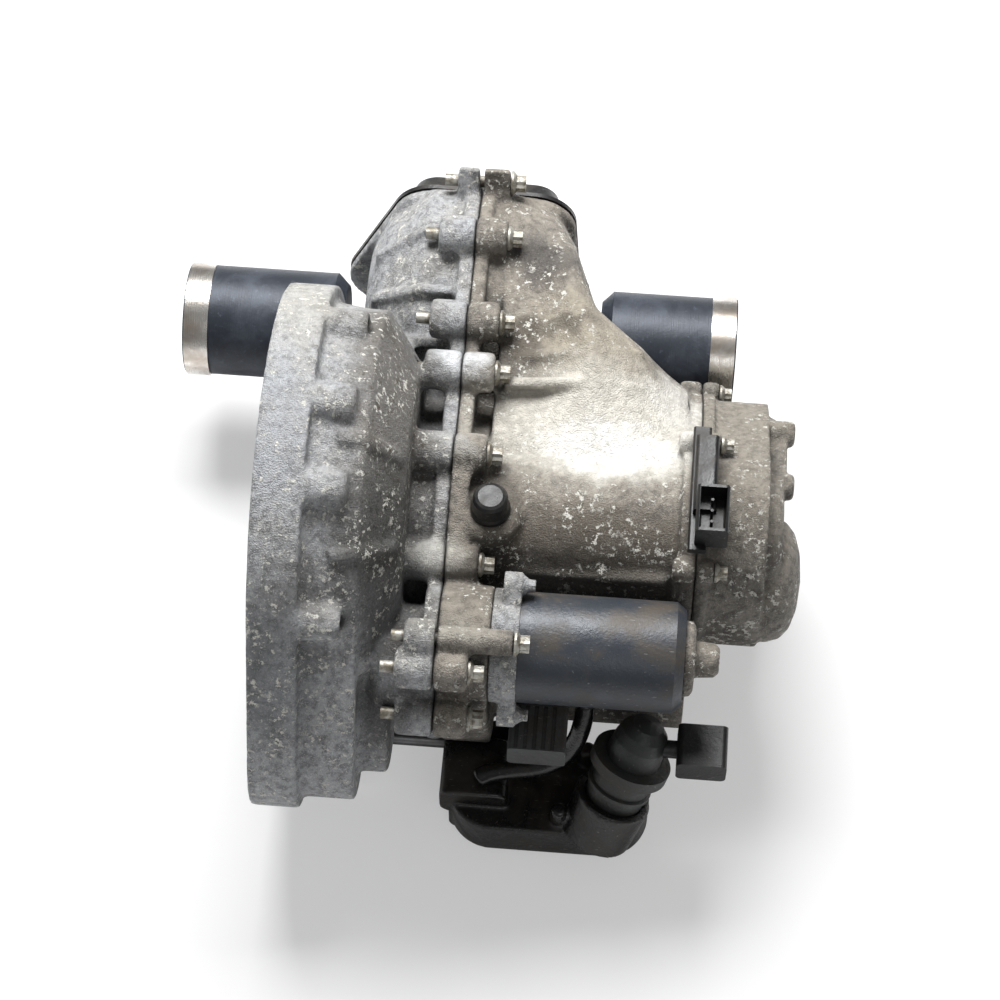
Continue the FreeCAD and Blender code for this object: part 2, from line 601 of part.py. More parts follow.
def input_set():
    right = RIGHT_BEARING_AT + BEARING_WIDTH
    spline = turned([(SPLINE_TIP, 0), (SPLINE_TIP, SPLINE_RADIUS - 1.5), (SPLINE_TIP + 2, SPLINE_RADIUS),
                     (SPLINE_END, SPLINE_RADIUS), (SPLINE_END, 11), (62, 11), (62, INPUT_SHAFT),
                     (right, INPUT_SHAFT), (right, 0)])
    gears = []
    for name, (driving, _) in GEAR_PAIRS.items():
        phase = direction(INPUT, OUTPUT)
        gears.append(spur(driving, GEAR_AT[name], GEAR_AT[name] + GEAR_WIDTH, INPUT, phase))
    gears.append(spur(REVERSE_TEETH[0], REVERSE_GEAR_AT, REVERSE_GEAR_AT + GEAR_WIDTH, INPUT,
                      direction(INPUT, REVERSE)))
    put("input_shaft", fused([spline] + gears))


def dog(face, toward, axis):
    """Ring beside an idling gear that its sleeve slides over."""
    x0, x1 = sorted((face, face + toward * DOG_LENGTH))
    return cyl(DOG_RADIUS, x0, x1, axis)


def idler_gears():
    sides = {"first": -1, "second": 1, "third": -1, "fourth": 1, "fifth": -1}
    bore = OUTPUT_SHAFT + RUN
    for name, (_, driven) in GEAR_PAIRS.items():
        x0 = GEAR_AT[name]
        phase = gap_phase(driven, direction(OUTPUT, INPUT))
        wheel = spur(driven, x0, x0 + GEAR_WIDTH, OUTPUT, phase)
        face = x0 if sides[name] < 0 else x0 + GEAR_WIDTH
        wheel = fused([wheel, dog(face, sides[name], OUTPUT)])
        put(name + "_gear", wheel.cut(cyl(bore, x0 - 20, x0 + 40, OUTPUT)))
    x0 = REVERSE_GEAR_AT
    idler_phase = gap_phase(REVERSE_TEETH[1], direction(REVERSE, INPUT))
    x1 = x0 + GEAR_WIDTH
    put("reverse_idler", spur(REVERSE_TEETH[1], x0, x1, REVERSE, idler_phase, REVERSE_SHAFT + RUN))
    step = 360.0 / REVERSE_TEETH[1]
    lean = (direction(REVERSE, OUTPUT) - idler_phase) / step
    turn = (lean - round(lean)) * step * REVERSE_TEETH[1] / REVERSE_TEETH[2]
    phase = gap_phase(REVERSE_TEETH[2], direction(OUTPUT, REVERSE)) + turn
    wheel = fused([spur(REVERSE_TEETH[2], x0, x1, OUTPUT, phase), dog(x1, 1, OUTPUT)])
    put("reverse_gear", wheel.cut(cyl(bore, x0 - 20, x0 + 40, OUTPUT)))
    put("reverse_shaft", cyl(REVERSE_SHAFT, 108, x1 + 5, REVERSE))


def output_set():
    right = RIGHT_BEARING_AT + BEARING_WIDTH
    shaft = cyl(OUTPUT_SHAFT, LEFT_BEARING_AT, right, OUTPUT)
    pinion = spur(FINAL_TEETH[0], PINION_SPAN[0], PINION_SPAN[1], OUTPUT, direction(OUTPUT, DIFF))
    put("output_shaft", fused([shaft, pinion]))
    hubs = [tube(HUB_RADIUS, OUTPUT_SHAFT + SEAT, x0, x0 + HUB_WIDTH, OUTPUT) for x0 in HUBS_AT.values()]
    put("synchro_hubs", *hubs)
    for name, x0 in HUBS_AT.items():
        ring = tube(SLEEVE_RADIUS, HUB_RADIUS + SLIDE, x0, x0 + HUB_WIDTH, OUTPUT)
        middle = x0 + HUB_WIDTH / 2
        groove = tube(SLEEVE_RADIUS + 1, SLEEVE_GROOVE, middle - FORK_THICK / 2 - SLIDE,
                      middle + FORK_THICK / 2 + SLIDE, OUTPUT)
        put("sleeve_" + name, ring.cut(groove))


def reach(start, end, x, radius):
    """Round bar in the plane at x between two points across the shafts."""
    span = V(0, end[0] - start[0], end[1] - start[1])
    return Part.makeCylinder(radius, span.Length, V(x, start[0], start[1]), span)


def toward(a, b, distance):
    gap = math.hypot(b[0] - a[0], b[1] - a[1])
    return (a[0] + (b[0] - a[0]) * distance / gap, a[1] + (b[1] - a[1]) * distance / gap)


def forks():
    gap = math.hypot(DRUM[0] - ROD[0], DRUM[1] - ROD[1])
    facing = direction(OUTPUT, ROD)
    length = math.hypot(OUTPUT[0] - ROD[0], OUTPUT[1] - ROD[1]) - SLEEVE_RADIUS - 2
    for name, x0 in HUBS_AT.items():
        middle = x0 + HUB_WIDTH / 2
        x_low, x_high = middle - FORK_THICK / 2, middle + FORK_THICK / 2
        crescent = tube(SLEEVE_RADIUS + 6, SLEEVE_GROOVE + SLIDE, x_low, x_high, OUTPUT)
        crescent = crescent.cut(spoke(x_low - 1, x_high + 1, 0, 80, 80, facing + 180, OUTPUT))
        arm = spoke(x_low, x_high, 0, length, 9, facing + 180, ROD)
        ends = sorted((PIN_AT[name], middle))
        hub = cyl(10, ends[0] - 8, ends[1] + 8, ROD)
        post = reach(ROD, toward(ROD, DRUM, gap - DRUM_RADIUS - 1.5), PIN_AT[name], 5)
        pin = reach(ROD, toward(ROD, DRUM, gap - DRUM_RADIUS + GROOVE_DEPTH - SLIDE), PIN_AT[name], FORK_PIN)
        fork = fused([crescent, arm, hub, post, pin])
        put("fork_" + name, fork.cut(cyl(ROD_RADIUS + RUN, 100, 350, ROD)))
    put("fork_rod", cyl(ROD_RADIUS, 106, 341, ROD))


def helix_groove(x, facing):
    """Ramp of the shift drum: a bar of square section laid round the drum, ruled between steps."""
    lean = math.atan(SHIFT_TRAVEL / math.radians(DRUM_SWING) / DRUM_RADIUS)
    half = (FORK_PIN + SLIDE) / math.cos(lean)
    rings = []
    for i in range(-9, 10):
        angle = i * (DRUM_SWING + 10) / 9
        at = x - angle / DRUM_SWING * SHIFT_TRAVEL
        corners = []
        for r, side in ((DRUM_RADIUS - GROOVE_DEPTH, -half), (DRUM_RADIUS + 3, -half),
                        (DRUM_RADIUS + 3, half), (DRUM_RADIUS - GROOVE_DEPTH, half)):
            y, z = around(DRUM, r, facing + angle)
            corners.append(V(at + side, y, z))
        rings.append(Part.makePolygon(corners + corners[:1]))
    return Part.makeLoft(rings, True, True)


def drum_set():
    facing = direction(DRUM, ROD)
    drum = cyl(DRUM_RADIUS, DRUM_SPAN[0], DRUM_SPAN[1], DRUM)
    shaft = cyl(DRUM_JOURNAL, 131, 295, DRUM)
    mesh = direction(DRUM, WHEEL)
    wheel = spur(DRUM_TEETH, 142, 152, DRUM, gap_phase(DRUM_TEETH, mesh), module=SHIFT_MODULE)
    drum = drum.cut(helix_groove(PIN_AT["first_reverse"], facing))
    for name in ("second_third", "fourth_fifth"):
        x = PIN_AT[name]
        drum = drum.cut(tube(DRUM_RADIUS + 1, DRUM_RADIUS - GROOVE_DEPTH, x - FORK_PIN - SLIDE,
                             x + FORK_PIN + SLIDE, DRUM))
    put("shift_drum", fused([drum, shaft, wheel]))
    step = spur(STEP_TEETH, 141, 155, WHEEL, direction(WHEEL, DRUM), module=SHIFT_MODULE)
    phase = gap_phase(WHEEL_TEETH, direction(WHEEL, MOTOR))
    big = spur(WHEEL_TEETH, 155, 165, WHEEL, phase, module=SHIFT_MODULE)
    put("shift_wheel", fused([step, big]).cut(cyl(4 + RUN, 130, 190, WHEEL)))
    put("wheel_pin", cyl(4, 134, 186, WHEEL))
    pinion = spur(ARMATURE_TEETH, 154, 167, MOTOR, direction(MOTOR, WHEEL), module=SHIFT_MODULE)
    armature = fused([pinion, cyl(4, 154, 293, MOTOR), cyl(24, 208, 272, MOTOR), cyl(12, 274, 284, MOTOR)])
    put("motor_armature", armature)


def motor():
    x0, x1 = MOTOR_SPAN
    r = MOTOR_RADIUS
    bore = r - MOTOR_SHEET
    can = turned([(x0, 0), (x0, r), (x1 - 6, r), (x1, r - 5), (x1, 0)], MOTOR)
    room = turned([(x0 - 1, 0), (x0 - 1, bore), (x1 - 7, bore), (x1 - 2, bore - 5), (x1 - 2, 0)], MOTOR)
    can = can.cut(room)
    can = can.cut(cyl(9, x1 - 4, x1 + 1, MOTOR))
    put("motor_can", can)
    magnet = tube(bore - SEAT, 26, 206, 274, MOTOR)
    gaps = [spoke(200, 280, -40, 40, 5, a, MOTOR) for a in (0, 90)]
    put("motor_magnets", *magnet.cut(fused(gaps)).Solids)
    cap = turned([(x1, 0), (x1, 25), (x1 + 5, 24), (x1 + 7, 21), (x1 + 7, 12), (x1 + 20, 11),
                  (x1 + 23, 8), (x1 + 23, 0)], MOTOR)
    put("motor_end", cap.cut(cyl(4 + RUN, x1 - 1, x1 + 5, MOTOR)))
    plate = belt_solid([(MOTOR, DRIVE_CASE[0] - 1), (WHEEL, 16.0)], DRIVE_END, x0)
    ears = [belt_solid([(c, 8.5), (MOTOR, 20.0)], DRIVE_END + 6, x0) for c in MOTOR_EARS]
    plate = fused([plate] + ears + [bolt(x0, DRIVE_END + 8, c, COVER_BOLT / BOLT) for c in MOTOR_EARS])
    plate = plate.cut(cyl(4 + RUN, DRIVE_END - 1, x0 + 1, MOTOR))
    plate = plate.cut(cyl(4 + SEAT, DRIVE_END - 1, x0 - 3, WHEEL))
    plate = plate.cut(belt_solid(GEAR_BELT, DRIVE_END - 1, x0 + 1, SLIDE))
    put("motor_plate", plate)


def bevel(teeth, distance, phase):
    """Bevel wheel: a toothed outline ruled down towards the apex of its cone."""
    rings = [toothed_wire(teeth, MODULE, distance * scale, INPUT, phase, BEVEL_SHARE, scale)
             for scale in (1.0, 0.6)]
    return Part.makeLoft(rings, True, True)


def differential():
    c = CARRIER_CENTRE
    side_r = MODULE * SIDE_TEETH / 2
    spider_r = MODULE * SPIDER_TEETH / 2
    half = CARRIER_HALF
    seat = CARRIER_RADIUS + 6
    case = turned([(DIFF_BEARING_AT, 0), (DIFF_BEARING_AT, CARRIER_NECK), (c - half - 6, CARRIER_NECK),
                   (c - half - 6, CARRIER_RADIUS), (RING_SPAN[0] - 7, CARRIER_RADIUS),
                   (RING_SPAN[0] - 7, 70), (RING_SPAN[0], 70), (RING_SPAN[0], seat), (RING_SPAN[1], seat),
                   (c + half, CARRIER_RADIUS), (c + half, CARRIER_NECK), (166, CARRIER_NECK), (166, 0)], DIFF)
    room = cyl(34, c - half, c + half - 1, DIFF)
    case = case.cut(room).cut(cyl(CUP_STUB + RUN, 70, 175, DIFF))
    for angle in (0, 180):
        case = case.cut(spoke(c - 16, c + 1, 20, 60, 16, angle, DIFF))
    case = case.cut(reach((DIFF[0], DIFF[1] - 60), (DIFF[0], DIFF[1] + 60), c, SPIDER_PIN + SEAT))
    put("diff_carrier", case)
    phase = gap_phase(FINAL_TEETH[1], direction(DIFF, OUTPUT))
    ring = spur(FINAL_TEETH[1], RING_SPAN[0], RING_SPAN[1], DIFF, phase, seat + SEAT)
    depth = 0.27 * (RING_SPAN[1] - RING_SPAN[0])
    recess = tube(86, CARRIER_RADIUS + 14, RING_SPAN[1] - depth, RING_SPAN[1] + 1, DIFF)
    put("ring_gear", ring.cut(recess))
    put("spider_pin", reach((DIFF[0], DIFF[1] - 45), (DIFF[0], DIFF[1] + 45), c, SPIDER_PIN))
    for name, sign, cup in (("left", -1, LEFT_CUP), ("right", 1, RIGHT_CUP)):
        teeth = bevel(SIDE_TEETH, spider_r, 90.0)
        if sign < 0:
            teeth = teeth.mirror(V(0, 0, 0), V(1, 0, 0))
        teeth.translate(V(c, DIFF[0], DIFF[1]))
        back = sorted((c + sign * spider_r, c + sign * (half - 2)))
        side = fused([teeth, cyl(19, back[0], back[1], DIFF)])
        put(name + "_side_gear", side.cut(cyl(CUP_STUB - 3 + SEAT, 80, 170, DIFF)))
        open_end, shut_end = cup
        inner = c + sign * (spider_r - 5)
        points = [(open_end, 0), (open_end, CUP_RADIUS), (shut_end + sign * 8, CUP_RADIUS),
                  (shut_end, CUP_RADIUS - 8), (shut_end, CUP_STUB), (c + sign * (half + 1), CUP_STUB),
                  (c + sign * (half - 1), CUP_STUB - 3), (inner, CUP_STUB - 3), (inner, 0)]
        tulip = turned(points, DIFF)
        depth = sorted((open_end + sign, open_end - sign * CUP_DEPTH))
        hollow = [cyl(CUP_BORE, depth[0], depth[1], DIFF)]
        hollow += [cyl(TRACK_RADIUS, depth[0], depth[1], around(DIFF, TRACK_CIRCLE, 90 + 120 * i))
                   for i in range(3)]
        put(name + "_output_cup", tulip.cut(fused(hollow)))
        band = sorted((open_end - sign, open_end - sign * (1 + BAND_WIDTH)))
        put(name + "_cup_band", tube(BAND_RADIUS, CUP_RADIUS + SEAT, band[0], band[1], DIFF))
    spider = bevel(SPIDER_TEETH, side_r, gap_phase(SPIDER_TEETH, 90.0))
    boss = cyl(11, side_r, 31.5, INPUT)
    spider = fused([spider, boss])
    spider.rotate(V(0, 0, 0), V(0, 1, 0), -90)
    spider = spider.cut(Part.makeCylinder(SPIDER_PIN + RUN, 60, V(0, 0, 0), V(0, 0, 1)))
    lower = spider.mirror(V(0, 0, 0), V(0, 0, 1))
    for name, shape in (("upper_spider_gear", spider), ("lower_spider_gear", lower)):
        shape.translate(V(c, DIFF[0], DIFF[1]))
        put(name, shape)


def seals():
    pairs = ((62, 70), (208, 216))
    put("output_seals", *[tube(NECK_BORE - SEAT, CUP_STUB + RUN, x0, x1, DIFF) for x0, x1 in pairs])


def release_set():
    bore = INPUT_SHAFT + 1.5
    put("guide_tube", fused([tube(GUIDE_RADIUS, bore, 44, 98), tube(32, bore, 94, 98)]))
    x0, x1 = LEVER_AT, LEVER_AT + LEVER_THICK
    face = x0 - PAD_PROUD - SLIDE
    put("release_bearing", tube(RELEASE_RADIUS, GUIDE_RADIUS + RUN, face - RELEASE_WIDTH, face))
    inner, outer = LEVER_RING
    ring = tube(outer, inner, x0, x1)
    arm = spoke(x0, x1, inner + 4, LEVER_REACH + 9, LEVER_HALF, LEVER_ANGLE)
    tail = spoke(x0, x1, inner + 4, PIVOT_RADIUS + 10, LEVER_HALF, LEVER_ANGLE + 180)
    pads = []
    for turn in (90, -90):
        near = around(INPUT, inner + 1.5, LEVER_ANGLE + turn)
        far = around(INPUT, outer - 1.5, LEVER_ANGLE + turn)
        pads.append(reach(near, far, x0 + PAD_RADIUS - PAD_PROUD, PAD_RADIUS))
    pivot = around(INPUT, PIVOT_RADIUS, LEVER_ANGLE + 180)
    ball_at = V(x1 + 1, pivot[0], pivot[1])
    put("release_lever", fused([ring, arm, tail] + pads).cut(Part.makeSphere(STUD_BALL + SLIDE, ball_at)))
    ball = [(x1 + 1 - STUD_BALL * math.cos(math.radians(a)), STUD_BALL * math.sin(math.radians(a)))
            for a in range(0, 150, 10)]
    put("lever_stud", turned(ball + [(98, 4), (98, 0)], pivot))
    tip = x1 + SLIDE
    rod = turned([(tip, 0), (tip, PUSH_ROD / 2), (tip + 2, PUSH_ROD), (186, PUSH_ROD), (186, 0)],
                 around(INPUT, LEVER_REACH, LEVER_ANGLE))
    put("push_rod", rod)


def along(origin, axis, profile):
    """Solid of revolution about a leaning axis, from (distance, radius) points."""
    shape = turned(profile)
    unit = V(axis).normalize()
    turn = FreeCAD.Rotation(V(1, 0, 0), unit)
    shape.Placement = FreeCAD.Placement(origin, turn)
    return shape


def trough(x0, x1, y, radius, bottom, top):
    """Cast bowl with round ends and a chamfered floor, long in X."""
    height = top - bottom
    end = [(0, 0), (0, radius - 10), (4, radius - 4), (10, radius), (height, radius), (height, 0)]
    side = [(-r, bottom + h) for h, r in end[1:-1]] + [(r, bottom + h) for h, r in reversed(end[1:-1])]
    points = [V(x0, y + r, z) for r, z in side]
    run = Part.Face(Part.makePolygon(points + points[:1])).extrude(V(x1 - x0, 0, 0))
    return fused([turned_up((x0, y, bottom), end), turned_up((x1, y, bottom), end), run])


def actuator_side(r):
    """Stepped outside of the lower actuator, as (distance, radius) points along its axis."""
    return [(-12, r), (14, r), (15, r + 2), (18, r + 2), (19, r), (32, r), (33, r + 7), (41, r + 7),
            (42, r - 1), (56, r - 2), (64, r - 4), (70, r - 9)]


def actuator():
    r = ACT_RADIUS
    put("actuator_body", along(ACT_FOOT, ACT_AXIS, [(-12, 0)] + actuator_side(r) + [(73, 0)]))
    rod_at = around(INPUT, LEVER_REACH, LEVER_ANGLE)
    bowl = trough(176, 252, -138, 30, REST_PLANE, -122)
    back = block(146, 200, -150, -84, REST_PLANE, -128, 8)
    arm = block(140, 186, -152, -108, -136, -106, 8)
    collar = along(ACT_FOOT, ACT_AXIS, [(-30, 0), (-30, r + 4), (2, r + 6), (6, r + 6), (6, 0)])
    posts = [turned_up((x, y, -126), [(0, 0), (0, 6), (20, 6), (22, 4), (22, 0)])
             for x, y in ((222, -158), (238, -112))]
    box = fused([bowl, back, arm, collar] + posts)
    socket = [(-12 - SEAT, 0), (-12 - SEAT, r + SEAT), (60, r + SEAT), (60, 0)]
    box = box.cut(along(ACT_FOOT, ACT_AXIS, socket))
    box = box.cut(cyl(PUSH_ROD + RUN, 139, 230, rod_at))
    box = box.cut(belt_solid(GEAR_BELT, 130, COVER_FACE, SEAT))
    box = box.cut(belt_solid(DRIVE_BELT, 130, DRIVE_END, SEAT))
    for centre in SPLIT_BOLTS:
        box = box.cut(cyl(BOSS_RADIUS + SLIDE, 100, 180, centre))
    floor = Part.makeBox(300, 400, 100, V(100, -300, REST_PLANE - 100))
    put("actuator_housing", box.cut(floor))


def fittings():
    put("breather_cap", turned_up((165, -23, 56), [(0, 0), (0, 13), (3, 13), (5, 12), (15, 11.5), (17, 10),
                                                   (18, 8), (18, 0)]))
    seat = INPUT_CASE + 4 + COVER_RIM + SLIDE
    base = block(293, 305, -48, 44, seat, seat + 5, 2)
    body = block(295, 310, -22, 34, seat + 2, seat + 12, 3)
    shell = block(297, 318, -44, -10, seat + 2, seat + 24, 3)
    shell = shell.cut(block(299, 316, -42, -12, seat + 8, seat + 30, 2))
    pins = [cyl_up(1.0, seat + 7, seat + 20, 307, y) for y in (-35, -27, -19)]
    put("speed_sensor", fused([base, body, shell] + pins))
    plug = fused([block(186, 224, -150, -116, -54, -32, 3), block(192, 204, -130, -70, -54, -42, 3)])
    for i in range(5):
        plug = plug.cut(block(190 + 6 * i, 192.5 + 6 * i, -149, -118, -33.2, -30))
    put("connector_block", plug.cut(belt_solid(GEAR_BELT, 160, 230, SEAT)))
    neck = fused([cyl(6, 284, 300, (-130.0, -58.0)), block(297, 330, -146, -116, -68, -46, 4)])
    neck = neck.cut(block(301, 331, -142, -120, -64, -50, 2))
    pins = [cyl(1.0, 299, 322, (y, z)) for y in (-137, -131, -125) for z in (-60, -54)]
    body_room = along(ACT_FOOT, ACT_AXIS, [(-12, 0)] + actuator_side(ACT_RADIUS + SEAT) + [(73, 0)])
    put("actuator_plug", fused([neck] + pins).cut(body_room))


def cyl_up(radius, z0, z1, x, y):
    return Part.makeCylinder(radius, z1 - z0, V(x, y, z0), V(0, 0, 1))


def turned_up(origin, profile):
    """Solid of revolution about a vertical axis, from (height, radius) points."""
    return along(V(*origin), V(0, 0, 1), profile)


def bearings():
    right = CARRIER_CENTRE + CARRIER_HALF + 1
    still, input_rings, output_rings = [], [], []
    for x0 in (LEFT_BEARING_AT, RIGHT_BEARING_AT):
        for axis, shaft, rings in ((INPUT, INPUT_SHAFT, input_rings), (OUTPUT, OUTPUT_SHAFT, output_rings)):
            outer, inner = bearing(axis, shaft, BEARING_OUTER, x0)
            still += outer
            rings += inner
    put("shaft_bearings", *still)
    put("input_races", *input_rings)
    put("output_races", *output_rings)
    left_set = bearing(DIFF, CARRIER_NECK, DIFF_BEARING_OUT, DIFF_BEARING_AT, DIFF_BEARING_WIDTH)
    right_set = bearing(DIFF, CARRIER_NECK, DIFF_BEARING_OUT, right, DIFF_BEARING_WIDTH)
    put("diff_bearings", *(left_set[0] + right_set[0]))
    put("diff_races", *(left_set[1] + right_set[1]))


clutch_housing()
gear_case()
end_cover()
diff_cover()
fasteners()
input_set()
idler_gears()
output_set()
forks()
drum_set()
motor()
differential()
seals()
release_set()
actuator()
fittings()
bearings()

os.makedirs("parts", exist_ok=True)
for name, shape in NODES.items():
    shape.translate(V(-ENGINE_FACE, 0, 0))
    shape.exportStep("parts/" + name + ".step")
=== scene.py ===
import math

import bmesh
import bpy
import numpy as np
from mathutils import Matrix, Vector


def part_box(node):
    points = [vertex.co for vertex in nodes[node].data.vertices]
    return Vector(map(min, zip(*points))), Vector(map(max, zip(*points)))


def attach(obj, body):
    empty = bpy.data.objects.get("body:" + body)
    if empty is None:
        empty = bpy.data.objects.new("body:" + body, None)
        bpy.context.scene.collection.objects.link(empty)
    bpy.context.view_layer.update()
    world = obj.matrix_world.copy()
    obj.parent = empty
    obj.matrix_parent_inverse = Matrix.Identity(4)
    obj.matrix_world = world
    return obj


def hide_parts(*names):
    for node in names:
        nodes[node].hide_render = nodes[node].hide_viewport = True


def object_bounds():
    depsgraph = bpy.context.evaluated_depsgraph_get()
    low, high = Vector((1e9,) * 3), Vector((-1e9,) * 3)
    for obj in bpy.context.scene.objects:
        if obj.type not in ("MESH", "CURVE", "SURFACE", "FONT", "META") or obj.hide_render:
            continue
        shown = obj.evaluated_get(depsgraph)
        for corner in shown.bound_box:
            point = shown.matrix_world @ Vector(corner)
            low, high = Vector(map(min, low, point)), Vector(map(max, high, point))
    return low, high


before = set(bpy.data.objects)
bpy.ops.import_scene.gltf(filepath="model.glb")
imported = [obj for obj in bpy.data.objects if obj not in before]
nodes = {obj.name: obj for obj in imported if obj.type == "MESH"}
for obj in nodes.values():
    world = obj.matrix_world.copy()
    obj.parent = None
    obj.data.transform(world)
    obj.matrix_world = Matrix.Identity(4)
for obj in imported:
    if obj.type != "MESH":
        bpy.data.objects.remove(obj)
cad_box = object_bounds()


# Bell housing, sand-cast in aluminium and bolted to the engine by its rim. The casting is grey and grainy:
# dust lies on what faces up, oil and dirt sit in the corners and low down, darkened there by painted shade,
# its edges are rubbed bright, and painted highlights lighten its upper rim and the tops of its bosses.
class Wire:
    """One output of a shader node. Sums, differences and products of wires add Math nodes. node() adds any
    other node, from its settings and its inputs, and gives the wire that leaves it."""

    def __init__(self, tree, socket=None):
        self.tree, self.socket = tree, socket

    def node(self, kind, settings=None, inputs=None, out=0):
        made = self.tree.nodes.new("ShaderNode" + kind)
        for key, value in (settings or {}).items():
            setattr(made, key, value)
        for key, value in (inputs or {}).items():
            if isinstance(value, Wire):
                self.tree.links.new(value.socket, made.inputs[key])
            else:
                made.inputs[key].default_value = value
        return Wire(self.tree, made.outputs[out] if len(made.outputs) else None)

    def maths(self, operation, *values):
        return self.node("Math", {"operation": operation}, dict(enumerate(values)))

    def __add__(self, other):
        return self.maths("ADD", self, other)

    __radd__ = __add__

    def __sub__(self, other):
        return self.maths("SUBTRACT", self, other)

    def __rsub__(self, other):
        return self.maths("SUBTRACT", other, self)

    def __mul__(self, other):
        return self.maths("MULTIPLY", self, other)

    __rmul__ = __mul__

    def step(self, low, high, start=0.0, end=1.0):
        """Smooth ramp from start to end while this wire goes from low to high."""
        ends = {"Value": self, "From Min": low, "From Max": high, "To Min": start, "To Max": end}
        return self.node("MapRange", {"interpolation_type": "SMOOTHSTEP"}, ends)

    def over(self, factor, colour):
        """This colour, covered by another where the factor is 1."""
        return self.node("Mix", {"data_type": "RGBA"}, {0: factor, 6: self, 7: colour}, out=2)

    def noise(self, scale, detail=4.0, rough=0.55, warp=0.0, out=0):
        """Fractal noise at this place, with the scale as waves in a metre."""
        inputs = {"Vector": self, "Scale": scale, "Detail": detail, "Roughness": rough, "Distortion": warp}
        return self.node("TexNoise", None, inputs, out)

    def cells(self, scale):
        """Distance from this place to the nearest of scattered points, with the scale as cells in a metre."""
        return self.node("TexVoronoi", None, {"Vector": self, "Scale": scale})

    def axis(self, index):
        return self.node("SeparateXYZ", None, {0: self}, index)

    def near(self, centre, reach):
        """1 at the centre, in metres, falling smoothly to 0 at the reach along each axis."""
        moved = self.node("VectorMath", {"operation": "SUBTRACT"}, {0: self, 1: centre})
        moved = moved.node("VectorMath", {"operation": "DIVIDE"}, {0: moved, 1: reach})
        length = moved.node("VectorMath", {"operation": "LENGTH"}, {0: moved}, "Value")
        return length.step(0.35, 1.0, 1.0, 0.0)

    def open_air(self, distance, samples=6):
        """1 on open faces, falling to 0 in corners narrower than the distance, in metres."""
        return self.node("AmbientOcclusion", {"samples": samples}, {"Distance": distance}, "AO")


def rgb(red, green, blue):
    """Linear colour from the 0 to 255 numbers of a picture."""
    return tuple(((v / 255.0 + 0.055) / 1.055) ** 2.4 for v in (red, green, blue)) + (1.0,)


def shade(colour, share, brightest=1.0):
    """The colour made lighter or darker by the share."""
    return tuple(min(v * share, brightest) for v in colour[:3]) + (1.0,)


def flat(wire, colour):
    """Wire that carries one plain colour."""
    made = wire.node("RGB")
    made.socket.default_value = colour
    return made


def finish(name, look):
    """Material whose look function gets the Object coordinates and returns the Principled node's inputs, with
    the height and depth of its bump in metres."""
    material = bpy.data.materials.new(name)
    material.use_nodes = True
    tree = material.node_tree
    tree.nodes.clear()
    start = Wire(tree)
    values = look(start.node("TexCoord", out="Object"))
    bump = {"Strength": 1.0, "Distance": values.pop("depth"), "Height": values.pop("height")}
    if "rounded" in values:
        bump["Normal"] = values.pop("rounded")
    values["Normal"] = start.node("Bump", None, bump)
    skin = start.node("BsdfPrincipled", None, values)
    start.node("OutputMaterial", None, {"Surface": skin})
    return material


